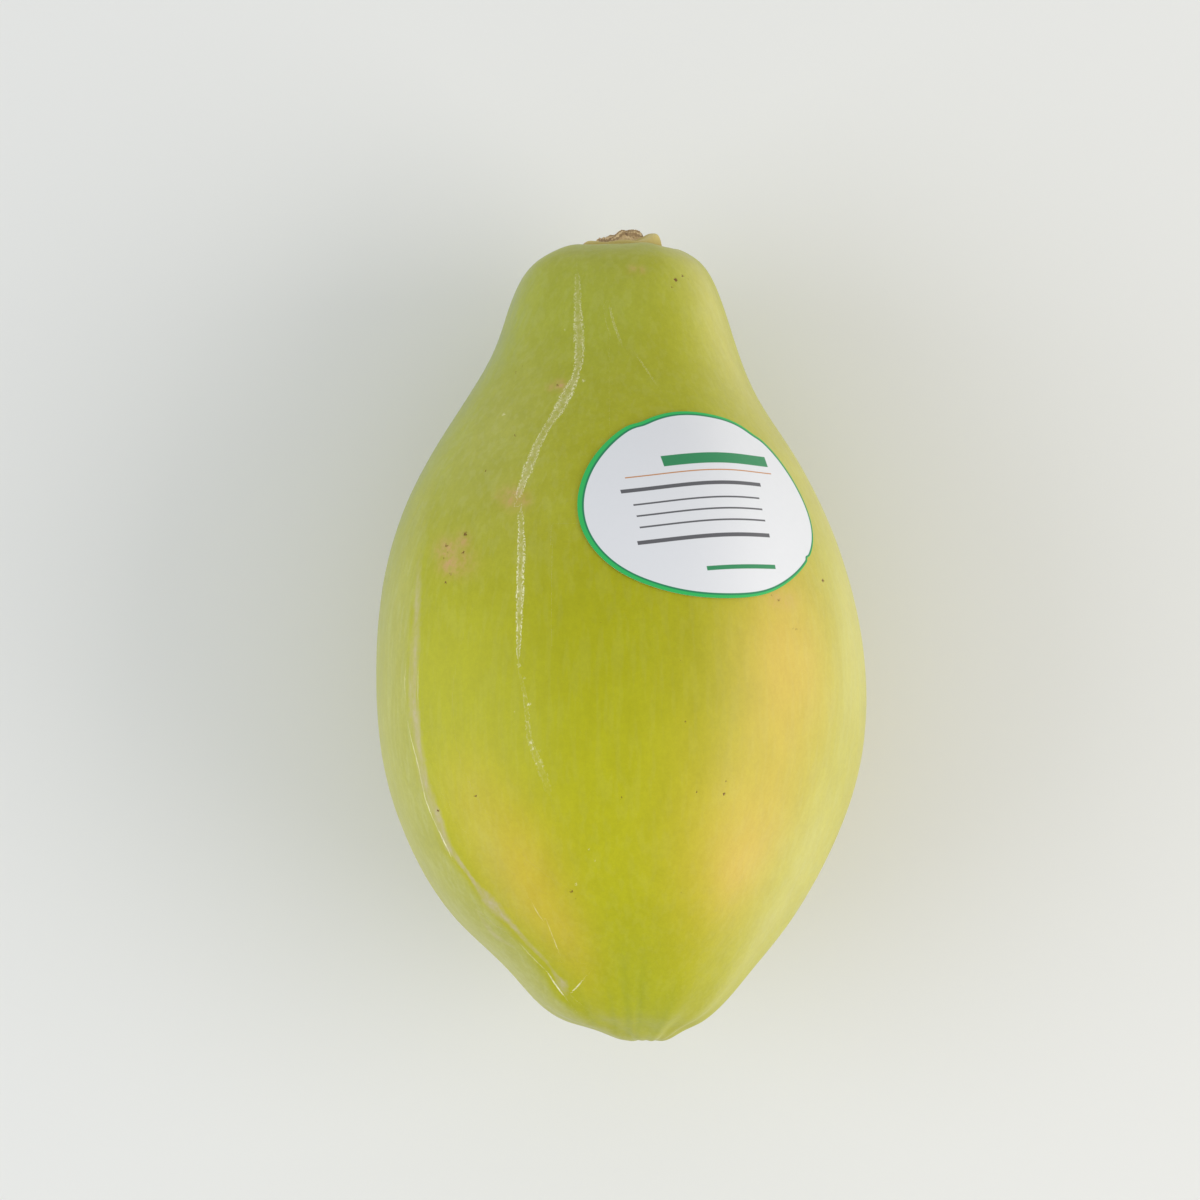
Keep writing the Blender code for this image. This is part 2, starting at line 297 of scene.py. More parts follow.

# Dried milk-white sap that ran down the skin, the rub along the left ridge, the fine scratches beside it,
# drawn only as painted glint lines, and the shallow folds at the blossom end, which also carry painted shade.
# Each stop is (x, y, half width, cover), with lengths in millimetres, seen from above, and those of the sap
# end with their gleam.
SAP_RUNS = (
    (
        (-7.4, 60.2, 0.40, 0.10, 0.2),
        (-7.3, 56.1, 0.50, 0.35, 0.5),
        (-7.2, 52.5, 0.65, 0.45, 0.6),
        (-7.0, 49.0, 0.75, 0.45, 0.6),
        (-7.1, 45.5, 0.62, 0.50, 0.7),
        (-7.5, 43.2, 0.55, 0.55, 0.8),
        (-8.7, 40.4, 0.80, 0.65, 0.9),
        (-10.1, 37.6, 0.85, 0.65, 0.8),
        (-11.9, 34.6, 0.60, 0.55, 0.6),
        (-13.5, 31.8, 0.65, 0.60, 0.6),
        (-14.6, 29.0, 0.75, 0.70, 0.7),
        (-15.5, 26.6, 0.75, 0.75, 0.8),
        (-16.3, 24.4, 0.50, 0.80, 0.9),
        (-16.8, 23.0, 0.65, 0.60, 0.8),
    ),
    (
        (-16.4, 19.8, 0.42, 0.40, 0.7),
        (-16.3, 15.0, 0.52, 0.60, 1.0),
        (-16.4, 10.5, 0.58, 0.65, 1.0),
        (-16.5, 5.7, 0.50, 0.60, 1.0),
        (-16.6, 1.5, 0.42, 0.50, 1.0),
        (-16.7, -2.0, 0.30, 0.50, 1.0),
        (-16.7, -3.4, 0.20, 0.30, 0.5),
    ),
    (
        (-16.4, -6.4, 0.20, 0.08, 0.10),
        (-15.4, -11.0, 0.35, 0.12, 0.18),
        (-14.8, -16.9, 0.40, 0.14, 0.22),
        (-12.6, -22.4, 0.60, 0.14, 0.12),
        (-11.8, -25.0, 0.50, 0.05, 0.05),
    ),
    ((-1.9, 54.6, 0.15, 0.2, 0.3), (-1.2, 51.6, 0.18, 0.3, 0.4), (-0.1, 48.6, 0.15, 0.1, 0.2)),
    ((3.0, 45.6, 0.12, 0.2, 0.3), (4.4, 43.4, 0.12, 0.2, 0.3), (5.6, 41.6, 0.12, 0.1, 0.1)),
)
RUB_RUNS = (
    (
        (-33.2, 13.0, 0.60, 0.10),
        (-33.5, 5.9, 0.80, 0.50),
        (-33.9, -2.4, 1.00, 0.65),
        (-34.0, -10.7, 1.15, 0.75),
        (-33.3, -17.2, 1.20, 0.75),
        (-32.4, -22.9, 1.20, 0.80),
        (-31.1, -27.2, 1.05, 0.85),
        (-29.9, -30.3, 0.90, 0.90),
        (-28.1, -34.9, 0.70, 0.85),
        (-26.3, -37.4, 0.45, 0.75),
        (-23.9, -40.7, 0.50, 0.80),
        (-21.7, -43.5, 1.00, 1.00),
        (-19.7, -45.8, 0.90, 0.95),
        (-18.0, -47.5, 0.55, 0.75),
        (-16.6, -49.2, 0.45, 0.55),
        (-14.8, -51.3, 0.40, 0.45),
        (-12.8, -53.3, 0.35, 0.40),
        (-10.8, -56.2, 0.45, 0.50),
        (-9.7, -58.0, 0.90, 0.85),
        (-9.3, -59.3, 0.40, 0.20),
    ),
    ((-23.2, -46.5, 0.40, 0.20), (-20.4, -49.9, 0.60, 0.45), (-18.3, -51.2, 0.40, 0.20)),
)
# Painted highlight: the fine scratches are drawn only as bright glint lines.
SCRATCH_GLINT_RUNS = (
    (
        (-35.0, -14.2, 0.08, 0.20),
        (-34.2, -17.8, 0.11, 0.50),
        (-33.5, -20.4, 0.11, 0.60),
        (-32.9, -23.2, 0.11, 0.35),
        (-32.3, -26.0, 0.10, 0.60),
        (-31.5, -28.5, 0.12, 0.70),
        (-30.4, -31.0, 0.09, 0.30),
        (-29.2, -33.5, 0.14, 0.80),
        (-27.9, -36.3, 0.10, 0.20),
    ),
    ((-35.4, -4.6, 0.09, 0.1), (-35.5, -8.0, 0.10, 0.35), (-35.3, -11.0, 0.09, 0.1)),
    ((-33.2, -5.6, 0.09, 0.1), (-33.3, -8.4, 0.10, 0.40), (-33.2, -11.0, 0.09, 0.1)),
    ((-12.1, -55.8, 0.12, 0.5), (-10.8, -57.9, 0.15, 1.0), (-9.6, -59.6, 0.12, 0.7)),
    ((-12.3, -46.4, 0.08, 0.2), (-11.4, -49.0, 0.09, 0.3), (-10.6, -51.2, 0.10, 0.5)),
    ((-14.2, -44.4, 0.10, 0.3), (-13.7, -45.3, 0.10, 0.4), (-13.1, -46.2, 0.10, 0.2)),
    ((-7.9, -58.6, 0.12, 0.7), (-7.3, -57.9, 0.13, 0.8), (-6.6, -57.0, 0.10, 0.5)),
    ((-16.9, -50.6, 0.09, 0.1), (-14.4, -53.4, 0.10, 0.35), (-12.6, -55.2, 0.09, 0.2)),
)
FOLDS = (
    ((0.0, -50.0, 0.8, 0.1), (0.2, -55.0, 0.9, 0.6), (0.7, -60.0, 0.8, 0.9), (1.4, -67.5, 0.6, 0.9)),
    ((3.6, -52.0, 0.8, 0.1), (3.3, -55.6, 0.8, 0.5), (3.0, -60.0, 0.7, 0.7), (2.6, -67.5, 0.6, 0.8)),
    ((-2.6, -56.0, 0.6, 0.1), (-1.9, -60.0, 0.6, 0.5), (-1.0, -66.5, 0.5, 0.6)),
    ((9.0, -56.0, 0.9, 0.1), (7.8, -61.0, 0.8, 0.4), (5.6, -66.5, 0.6, 0.5)),
    ((-7.5, -57.0, 0.7, 0.1), (-6.0, -61.5, 0.6, 0.5), (-4.6, -65.0, 0.5, 0.6)),
)
FOLD_DEPTH = 0.00015
RUN_STEP = 0.2
RUN_REACH = 5.0
RUN_VALUES = (0.02, 1.0)
OUT_OF_REACH = 40.0


def run_on_skin(stops, points):
    """A smooth run through the stops, laid on the upper side of the skin, with its direction and the other
    values of its stops."""
    stops = np.array(stops)
    length = np.concatenate([[0], np.cumsum(np.linalg.norm(np.diff(stops[:, :2], axis=0), axis=1))])
    run, way = cubic_spline(length, stops, np.arange(0, length[-1], RUN_STEP))
    upper = points.reshape(-1, 3) * MM
    upper = upper[upper[:, 2] > AXIS_HEIGHT * MM]
    tree = KDTree(len(upper))
    for i, (x, y, _) in enumerate(upper.tolist()):
        tree.insert((x, y, 0), i)
    tree.balance()
    places = np.array([upper[tree.find((x, y, 0))[1]] for x, y in run[:, :2].tolist()])
    places[:, :2] = run[:, :2]
    return places, way[:, :2], np.clip(run[:, 2:], *RUN_VALUES)


def run_marks(points, runs):
    """For each point, how many half widths it is to the right of the nearest run, and that run's cover there,
    with its gleam where it has one. Points far from every run are out of reach."""
    flat = points.reshape(-1, 3) * MM
    marks = np.zeros((len(flat), len(runs[0][0]) - 2))
    marks[:, 0] = OUT_OF_REACH
    for stops in runs:
        places, way, given = run_on_skin(stops, points)
        tree = KDTree(len(places))
        for i, place in enumerate(places.tolist()):
            tree.insert(place, i)
        tree.balance()
        near = np.all((flat > places.min(0) - RUN_REACH) & (flat < places.max(0) + RUN_REACH), axis=1)
        for i in np.flatnonzero(near).tolist():
            _, nearest, gap = tree.find(flat[i])
            half_width, *strengths = given[nearest]
            if gap / half_width < abs(marks[i, 0]):
                off = flat[i] - places[nearest]
                side = 1 if way[nearest, 1] * off[0] - way[nearest, 0] * off[1] > 0 else -1
                marks[i] = side * gap / half_width, *strengths
    return np.moveaxis(marks.reshape(*points.shape[:-1], -1), -1, 0)


# Small brown specks and sunken spots: (x, y, radius, darkness), in millimetres, seen from above.
SPECKS = (
    (-22.4, 27.0, 0.30, 0.8), (9.2, 59.7, 0.42, 0.9), (10.4, 60.5, 0.40, 0.7), (8.6, 58.4, 0.30, 0.7),
    (11.4, 59.9, 0.30, 0.6), (-10.6, 41.3, 0.40, 0.6), (-17.6, 43.8, 0.35, 0.6),
    (-16.5, 44.8, 0.30, 0.55), (-17.5, 32.9, 0.35, 0.65), (-28.7, 14.7, 0.40, 0.8),
    (-25.6, 16.6, 0.45, 0.9), (-25.9, 13.5, 0.40, 0.8), (-27.9, 10.0, 0.40, 0.6),
    (-28.7, 8.6, 0.30, 0.9), (-29.1, 12.6, 0.35, 0.6), (-28.4, 13.6, 0.3, 0.7), (33.4, 9.0, 0.35, 0.9),
    (10.2, -13.8, 0.30, 0.8), (-23.8, -26.0, 0.32, 0.9), (-0.2, -26.0, 0.32, 0.8),
    (12.0, -25.0, 0.28, 0.7), (16.4, -25.5, 0.32, 0.9), (16.7, -23.4, 0.26, 0.8),
    (17.6, -21.9, 0.25, 0.6), (-8.2, -41.4, 0.40, 0.8), (-7.6, -42.6, 0.35, 0.5),
    (-30.0, -28.6, 0.35, 0.8), (9.6, -41.6, 0.28, 0.7), (9.3, -4.0, 0.22, 0.6), (24.4, 6.6, 0.60, 0.45),
    (25.6, 5.8, 0.60, 0.5), (25.0, 4.4, 0.45, 0.4), (26.6, 7.0, 0.5, 0.35), (28.0, 1.2, 0.30, 0.6),
    (28.6, 1.0, 0.32, 0.6), (29.3, 1.0, 0.28, 0.5), (-3.4, 2.2, 0.22, 0.5),
)
BRUISES = (
    (-17.9, 22.4, 1.8, 0.60), (-16.0, 22.0, 1.3, 0.45), (-19.6, 22.6, 1.2, 0.3),
    (-28.6, 14.0, 1.8, 0.75), (-27.9, 11.6, 1.9, 0.75), (-26.0, 15.4, 1.3, 0.6),
    (-26.2, 12.0, 2.4, 0.45), (-10.2, 41.3, 0.9, 0.8), (-11.6, 41.0, 0.8, 0.4), (25.2, 6.0, 1.6, 0.40),
    (27.2, 5.6, 1.6, 0.3), (2.0, 61.4, 0.9, 0.35), (3.5, 61.2, 0.7, 0.35),
)
# Drops of dried sap in a trail, painted as bright glinting dots, a painted highlight: (x, y, radius,
# strength), in millimetres, seen from above.
SAP_DROP_GLINTS = (
    (-16.6, -4.8, 0.38, 0.9), (-15.7, -6.8, 0.30, 0.7), (-15.7, -9.7, 0.32, 0.7),
    (-15.0, -11.0, 0.38, 1.0), (-15.2, -13.9, 0.36, 0.8), (-17.4, -12.3, 0.30, 0.6),
    (-14.8, -15.3, 0.30, 0.7), (-14.6, -17.1, 0.38, 1.0), (-14.3, -18.0, 0.36, 1.0),
    (-13.3, -18.5, 0.30, 0.7), (-13.1, -20.1, 0.34, 0.9), (-13.8, -20.6, 0.34, 0.9),
    (-12.8, -20.9, 0.34, 0.8), (-19.5, 36.5, 0.32, 1.0), (-7.4, -40.2, 0.30, 0.8),
    (-5.3, -34.4, 0.28, 0.6), (-4.4, -36.2, 0.28, 0.6), (-9.4, 50.9, 0.30, 0.7),
    (-9.0, 52.2, 0.28, 0.6), (-6.3, 42.0, 0.32, 0.9),
)


def spots_at(points, spots):
    """How strongly small round spots cover each point of the skin's upper side."""
    cover = np.zeros(points.shape[:-1])
    upper = points[..., 2] > AXIS_HEIGHT
    for x, y, radius, strength in spots:
        apart = np.hypot(points[..., 0] * MM - x, points[..., 1] * MM - y) / radius
        cover = np.maximum(cover, strength * np.exp(-(apart**2)))
    return cover * upper


# The skin's low relief, in metres: a faint ripple, the film of sap, the rub and the sunken specks.
RIPPLE_SIZE = 0.006
RIPPLE_HEIGHT = 0.00002
SAP_HEIGHT = 0.00005
SAP_FILM_EDGE = (0.7, 1.2)
RUB_DEPTH = 0.00004
RUB_EDGE = (0.6, 1.6)
SPECK_DEPTH = 0.00008
SPOT_ROUNDING = 0.0001

walks = np.linspace(0, SKIN_WALK, SKIN_RINGS + 1)[1:-1]
turns = np.arange(SKIN_SIDES) * 2 * math.pi / SKIN_SIDES
walk_grid, turn_grid = np.meshgrid(walks, turns, indexing="ij")
smooth_skin = skin(walk_grid, turn_grid, -SKIN_INSET)

sap_reach, sap_cover, sap_gleam = run_marks(smooth_skin, SAP_RUNS)
rub_reach, rub_cover = run_marks(smooth_skin, RUB_RUNS)
scratch_glint_reach, scratch_glint_cover = run_marks(smooth_skin, SCRATCH_GLINT_RUNS)
fold_reach, fold_cover = run_marks(smooth_skin, FOLDS)
folds = fold_cover * np.exp(-(fold_reach**2))
edge_y, edge_x, softness = np.array(FLANK_EDGE).T
across, back = smooth_skin[..., 0] * MM, smooth_skin[..., 1] * MM
left_turn = (turn_grid + math.pi) % (2 * math.pi) - math.pi
softness = np.interp(back, edge_y, softness) * (1 + FLANK_BLUR * smooth_step(-left_turn, *FLANK_BLUR_TURNS))
past_edge = (np.interp(back, edge_y, edge_x) - across) / softness
left_flank_sheen = smooth_step(past_edge, -1.0, 1.0) * (left_turn < 0)
left_flank_sheen = left_flank_sheen * (1 - smooth_step(-left_turn, *FLANK_FADE_TURNS))
left_flank_sheen = left_flank_sheen * (1 - FLANK_NECK_LOSS * smooth_step(back, *FLANK_NECK_PLACES))
specks = spots_at(smooth_skin, SPECKS)
sap_film = sap_cover * (1 - smooth_step(np.abs(sap_reach), *SAP_FILM_EDGE))
rub_film = rub_cover * (1 - smooth_step(np.abs(rub_reach), *RUB_EDGE))
relief = RIPPLE_HEIGHT * rough_noise(smooth_skin, RIPPLE_SIZE) + SAP_HEIGHT * sap_film - SKIN_INSET
relief = relief - RUB_DEPTH * rub_film - SPECK_DEPTH * specks - FOLD_DEPTH * folds
skin_place = skin(walk_grid, turn_grid, relief)
# The skin flattens smoothly into the small spot that the fruit rests on.
skin_place[..., 2] = SPOT_ROUNDING * np.logaddexp(0, skin_place[..., 2] / SPOT_ROUNDING)
skin_values = {
    "apricot": patches(turn_grid, smooth_skin, APRICOT_SPOTS),
    "yellow": patches(turn_grid, smooth_skin, YELLOW_SPOTS),
    "green": patches(turn_grid, smooth_skin, GREEN_AND_SHADE_SPOTS),
    "pale_and_lit": patches(turn_grid, smooth_skin, PALE_AND_LIT_SPOTS),
    "lime": patches(turn_grid, smooth_skin, LIME_SPOTS),
    "painted_shade": patches(turn_grid, smooth_skin, PAINTED_SHADE_SPOTS),
    "left_flank_sheen": np.maximum(left_flank_sheen, patches(turn_grid, smooth_skin, BLOOM_SHEEN_SPOTS + NOSE_BLOOM_SHEEN)),
    "folds": folds,
    "sap_reach": sap_reach,
    "sap_cover": sap_cover,
    "sap_gleam": sap_gleam,
    "rub_reach": rub_reach,
    "rub_cover": rub_cover,
    "scratch_glint_reach": scratch_glint_reach,
    "scratch_glint_cover": scratch_glint_cover,
    "sap_drop_glints": spots_at(smooth_skin, SAP_DROP_GLINTS),
    "specks": specks,
    "bruises": spots_at(smooth_skin, BRUISES),
}
poles = skin(np.array([0.0, SKIN_WALK]), np.zeros(2), -SKIN_INSET)
papaya = closed_mesh("papaya", skin_place, poles[0], poles[1], skin_values)


def add_node(tree, kind, sockets=None, **settings):
    """A shader node with its settings. Each socket takes a value, or a link from another node's output."""
    made = tree.nodes.new(kind)
    for name, value in settings.items():
        setattr(made, name, value)
    for name, value in (sockets or {}).items():
        socket = made.inputs[name]
        if isinstance(value, bpy.types.NodeSocket):
            tree.links.new(value, socket)
        else:
            socket.default_value = value
    return made


def mixed(tree, mask, low, high, kind="MIX"):
    """The colour low where the mask is 0, and high where it is 1."""
    made = add_node(tree, "ShaderNodeMix", data_type="RGBA", blend_type=kind)
    for index, value in ((0, mask), (6, low), (7, high)):
        if isinstance(value, bpy.types.NodeSocket):
            tree.links.new(value, made.inputs[index])
        else:
            made.inputs[index].default_value = value if index == 0 else (*value, 1.0)
    return made.outputs[2]


def maths(tree, operation, *values):
    """The result of a maths node on numbers or outputs."""
    sockets = {i: value for i, value in enumerate(values)}
    return add_node(tree, "ShaderNodeMath", sockets, operation=operation).outputs[0]


def faded(tree, value, from_low, from_high, to_low=0.0, to_high=1.0):
    """The value's smooth fade from to_low to to_high as it goes from from_low to from_high."""
    sockets = {"Value": value, "From Min": from_low, "From Max": from_high}
    sockets.update({"To Min": to_low, "To Max": to_high})
    return add_node(tree, "ShaderNodeMapRange", sockets, interpolation_type="SMOOTHSTEP").outputs["Result"]


def point_value(tree, name):
    """The number that the mesh keeps at its points under this name."""
    return add_node(tree, "ShaderNodeAttribute", attribute_name=name).outputs["Fac"]


def shader_group(name, inputs, outputs):
    """An empty node group with these sockets, and its input and output nodes."""
    group = bpy.data.node_groups.new(name, "ShaderNodeTree")
    for kind, direction in ((inputs, "INPUT"), (outputs, "OUTPUT")):
        for socket_name, socket_type in kind.items():
            group.interface.new_socket(socket_name, in_out=direction, socket_type="NodeSocket" + socket_type)
    return group, group.nodes.new("NodeGroupInput").outputs, group.nodes.new("NodeGroupOutput").inputs


def placed(tree, group, **values):
    """A node group placed in a material, with its sockets set or linked. Underscores stand for spaces."""
    made = add_node(tree, "ShaderNodeGroup", node_tree=group)
    for name, value in values.items():
        socket = made.inputs[name.replace("_", " ")]
        if isinstance(value, bpy.types.NodeSocket):
            tree.links.new(value, socket)
        else:
            socket.default_value = value
    return made.outputs[0]


# Mottling: cloudy change from 0 to 1, stretched along the fruit.
mottle_inputs = {"Cells": "Float", "Stretch": "Float", "Spread": "Float"}
mottle, given, out = shader_group("mottle", mottle_inputs, {"Mask": "Float"})
place = add_node(mottle, "ShaderNodeTexCoord").outputs["Object"]
narrow = maths(mottle, "DIVIDE", 1.0, given["Stretch"])
scale = add_node(mottle, "ShaderNodeCombineXYZ", {"X": 1.0, "Y": narrow, "Z": 1.0}).outputs[0]
stretched = add_node(mottle, "ShaderNodeVectorMath", {0: place, 1: scale}, operation="MULTIPLY").outputs[0]
clouds = add_node(mottle, "ShaderNodeTexNoise", {"Vector": stretched, "Scale": given["Cells"], "Detail": 3.0})
low = maths(mottle, "SUBTRACT", 0.5, given["Spread"])
high = maths(mottle, "ADD", 0.5, given["Spread"])
mottle.links.new(faded(mottle, clouds.outputs[0], low, high), out["Mask"])


LEAF_GREEN = (0.325, 0.385, 0.038)
OLIVE_GOLD = (0.390, 0.392, 0.004)
LIME_YELLOW = (0.490, 0.480, 0.008)
WARM_YELLOW = (0.68, 0.51, 0.050)
APRICOT = (0.66, 0.47, 0.085)
# Pale rind, partly painted light from the right.
PALE_AND_LIT_RIND = (0.60, 0.56, 0.165)
# Painted sheen over the wax bloom: a milky green and a pale bloom colour.
WAXY_SHEEN_GREEN = (0.450, 0.445, 0.105)
WAX_BLOOM_SHEEN = (0.64, 0.66, 0.36)
# Painted shade: a darker bluish green.
PAINTED_SHADE_GREEN = (0.26, 0.31, 0.095)
# Painted shade in the folds at the nose.
FOLD_SHADE_GREEN = (0.20, 0.27, 0.020)
DRY_SAP = (0.57, 0.53, 0.26)
# Painted highlight: the colour of the bright glints on the sap, its drops and the scratches.
PAINTED_GLINT = (0.94, 0.92, 0.62)
RUBBED_SKIN = (0.55, 0.47, 0.32)
BRUISE = (0.60, 0.355, 0.165)
SPECK_BROWN = (0.17, 0.075, 0.015)
MOTTLE_DARK = (0.40, 0.40, 0.40)
MOTTLE_PALE = (0.60, 0.60, 0.60)

papaya_skin = bpy.data.materials.new("papaya_skin_dressed")
papaya_skin.use_nodes = True
tree = papaya_skin.node_tree
shader = tree.nodes["Principled BSDF"]

clouds = placed(tree, mottle, Cells=55.0, Stretch=1.6, Spread=0.25)
flecks = placed(tree, mottle, Cells=330.0, Stretch=2.0, Spread=0.25)
streaks = placed(tree, mottle, Cells=900.0, Stretch=9.0, Spread=0.20)
pores = placed(tree, mottle, Cells=3200.0, Stretch=1.0, Spread=0.20)
crumbs = placed(tree, mottle, Cells=1300.0, Stretch=1.3, Spread=0.18)
grain = placed(tree, mottle, Cells=5200.0, Stretch=2.0, Spread=0.12)

# Each tint covers the skin in soft clouds.
tinted = maths(tree, "MULTIPLY", maths(tree, "SUBTRACT", clouds, 0.5), 0.22)
tinted = maths(tree, "MULTIPLY_ADD", maths(tree, "SUBTRACT", flecks, 0.5), 0.07, tinted)
# The green mask also holds painted shade on the left shoulder.
colour = mixed(tree, maths(tree, "ADD", point_value(tree, "green"), tinted), OLIVE_GOLD, LEAF_GREEN)
# The pale tint is partly painted light from the right.
TINTS = (("lime", LIME_YELLOW), ("yellow", WARM_YELLOW), ("apricot", APRICOT), ("pale_and_lit", PALE_AND_LIT_RIND))
for name, tint in TINTS:
    part = point_value(tree, name)
    cover = maths(tree, "MULTIPLY", part, maths(tree, "MULTIPLY_ADD", clouds, 0.3, 0.85))
    colour = mixed(tree, cover, colour, tint)
# Wax bloom on the left flank, lightened by a painted sheen, and faint streaks of painted sheen over the flank
# and the pale rind.
flank_sheen = point_value(tree, "left_flank_sheen")
milky_sheen = maths(tree, "MULTIPLY", flank_sheen, maths(tree, "MULTIPLY_ADD", flecks, 0.20, 0.78))
colour = mixed(tree, milky_sheen, colour, WAXY_SHEEN_GREEN)
# Painted shade darkens the left shoulder to a bluish green.
painted_shade = maths(tree, "MULTIPLY", point_value(tree, "painted_shade"), maths(tree, "MULTIPLY_ADD", streaks, 0.7, 0.55))
colour = mixed(tree, painted_shade, colour, PAINTED_SHADE_GREEN)
waxy_sheen = maths(tree, "MAXIMUM", flank_sheen, point_value(tree, "pale_and_lit"))
bloom_sheen = maths(tree, "MULTIPLY_ADD", waxy_sheen, 0.08, 0.03)
bloom_sheen = maths(tree, "MULTIPLY", faded(tree, streaks, 0.35, 1.0), bloom_sheen)
colour = mixed(tree, bloom_sheen, colour, WAX_BLOOM_SHEEN)
# Painted shade darkens the folds at the nose.
colour = mixed(tree, maths(tree, "MULTIPLY", point_value(tree, "folds"), 0.20), colour, FOLD_SHADE_GREEN)
for mask, strength in ((clouds, 0.12), (flecks, 0.15), (crumbs, 0.12), (pores, 0.10)):
    colour = mixed(tree, strength, colour, mixed(tree, mask, MOTTLE_DARK, MOTTLE_PALE), "OVERLAY")

# The sap dried to a greyish film. Its broken edges and its drops get bright painted glints, a painted
# highlight.
wander = maths(tree, "MULTIPLY", maths(tree, "SUBTRACT", crumbs, 0.5), 0.40)
sap_gap = maths(tree, "ADD", maths(tree, "ABSOLUTE", point_value(tree, "sap_reach")), wander)
sap = point_value(tree, "sap_cover")
film = maths(tree, "MULTIPLY", faded(tree, sap_gap, 1.15, 0.75), sap)
film = maths(tree, "MULTIPLY", film, maths(tree, "MULTIPLY_ADD", crumbs, 0.60, 0.20))
colour = mixed(tree, film, colour, DRY_SAP)
# Painted highlight along the sap's broken edges.
glint = maths(tree, "MULTIPLY", faded(tree, sap_gap, 0.30, 0.95, 0.12, 1.0), faded(tree, sap_gap, 1.40, 1.0))
glint = maths(tree, "MULTIPLY", glint, faded(tree, grain, 0.35, 0.75))
glint = maths(tree, "MULTIPLY", glint, maths(tree, "MULTIPLY", point_value(tree, "sap_gleam"), 0.80))
# Painted highlight on the drops of sap.
drop_glints = maths(tree, "MULTIPLY_ADD", maths(tree, "SUBTRACT", grain, 0.5), 0.4, point_value(tree, "sap_drop_glints"))
glint = maths(tree, "MAXIMUM", glint, faded(tree, drop_glints, 0.35, 0.95, 0.0, 0.55))
colour = mixed(tree, glint, colour, PAINTED_GLINT)

# The rub left a dull pinkish-grey band. The fine scratches beside it are bright painted glint lines, a
# painted highlight.
rub_gap = maths(tree, "ADD", maths(tree, "ABSOLUTE", point_value(tree, "rub_reach")), wander)
rub = maths(tree, "MULTIPLY", faded(tree, rub_gap, 1.7, 0.2), point_value(tree, "rub_cover"))
rub = maths(tree, "MULTIPLY", rub, maths(tree, "MULTIPLY_ADD", streaks, 0.50, 0.45))
rub = maths(tree, "MULTIPLY", rub, maths(tree, "MULTIPLY_ADD", crumbs, 0.40, 0.75))
colour = mixed(tree, rub, colour, RUBBED_SKIN)
# Painted highlight along the fine scratches.
scratch_glint_gap = maths(tree, "ABSOLUTE", point_value(tree, "scratch_glint_reach"))
scratch_glint = maths(tree, "MULTIPLY", faded(tree, scratch_glint_gap, 1.5, 0.5), point_value(tree, "scratch_glint_cover"))
scratch_glint = maths(tree, "MULTIPLY", scratch_glint, maths(tree, "MULTIPLY_ADD", crumbs, 0.5, 0.45))
colour = mixed(tree, scratch_glint, colour, PAINTED_GLINT)

# Bruises are beige and crumbly, and specks dark with an uneven edge.
bruised = maths(tree, "MULTIPLY_ADD", crumbs, 0.7, 0.45)
bruised = maths(tree, "MULTIPLY", point_value(tree, "bruises"), bruised)
colour = mixed(tree, bruised, colour, BRUISE)
uneven = maths(tree, "SUBTRACT", grain, 0.5)
speckled = maths(tree, "MULTIPLY_ADD", uneven, 0.30, point_value(tree, "specks"))
speckled = faded(tree, speckled, 0.42, 0.70)
colour = mixed(tree, speckled, colour, SPECK_BROWN)

# The skin is satin, duller where it was rubbed and glossier on the sap, with fine pores.
roughness = maths(tree, "MULTIPLY_ADD", flecks, 0.06, 0.36)
roughness = maths(tree, "MULTIPLY_ADD", rub, 0.20, roughness)
roughness = maths(tree, "MULTIPLY_ADD", glint, -0.15, roughness)
bump_height = maths(tree, "MULTIPLY_ADD", pores, 0.25, maths(tree, "MULTIPLY", flecks, 0.6))
bump_height = maths(tree, "ADD", bump_height, maths(tree, "MULTIPLY_ADD", glint, 1.2, film))
bump = add_node(tree, "ShaderNodeBump", {"Strength": 0.35, "Distance": 0.00006, "Height": bump_height})
tree.links.new(colour, shader.inputs["Base Color"])
tree.links.new(roughness, shader.inputs["Roughness"])
tree.links.new(bump.outputs["Normal"], shader.inputs["Normal"])
shader.inputs["IOR"].default_value = 1.32
shader.inputs["Subsurface Weight"].default_value = 0.08
shader.inputs["Subsurface Radius"].default_value = (1.0, 0.7, 0.15)
shader.inputs["Subsurface Scale"].default_value = 0.002
papaya.data.materials.append(papaya_skin)
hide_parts("papaya_fruit")
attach(papaya, "root")


# The stub: what is left of the stalk where the fruit was cut from the tree, dry and torn, with the five
# lobes of the calyx shrunk round it. It stands in the stem hollow, and the right-hand lobe is still fleshy.

STUB_RADIUS = 0.0063
STUB_BULGE = 0.45
STUB_FOOT_SHARE = 0.55
LOBES = ((76, 0.0027), (8, 0.0010), (-58, 0.0012), (-132, 0.0011), (150, 0.0013))
LOBE_WIDTH = math.radians(32)
LOBE_MIDDLE = 0.80
LOBE_REACH = 0.21
LOBE_FULLNESS = 4
STALK_SHARE = 0.62
STALK_EDGE = 0.035
STALK_RISE = 0.0034
STALK_SLOPE = 0.0020
STALK_FALL = 0.0032
STALK_TEARS = ((3, 0.9, 0.00045), (7, 0.6, 0.00030))
PITH_SHARE = 0.26
PITH_DEPTH = 0.0008
STUB_GAP = 0.0003
STUB_RINGS = 120
STUB_SIDES = 420
# The stalk is torn off in layers: how many, how deep each one breaks off, how much its edge wanders and
# twists, and the part of a layer that its lip takes.
STALK_LAYERS = 8.5
LAYER_DEPTH = 0.00034
LAYER_WANDER = 0.55
LAYER_TWIST = 0.6
LAYER_LIP = 0.3
# A flake of dry bark stands up on its left.
FLAKE_TURN = math.radians(-76)
FLAKE_SHARE = 0.57
FLAKE_HALF_TURN = math.radians(28)
FLAKE_HALF_SHARE = 0.11
FLAKE_RISE = 0.0009
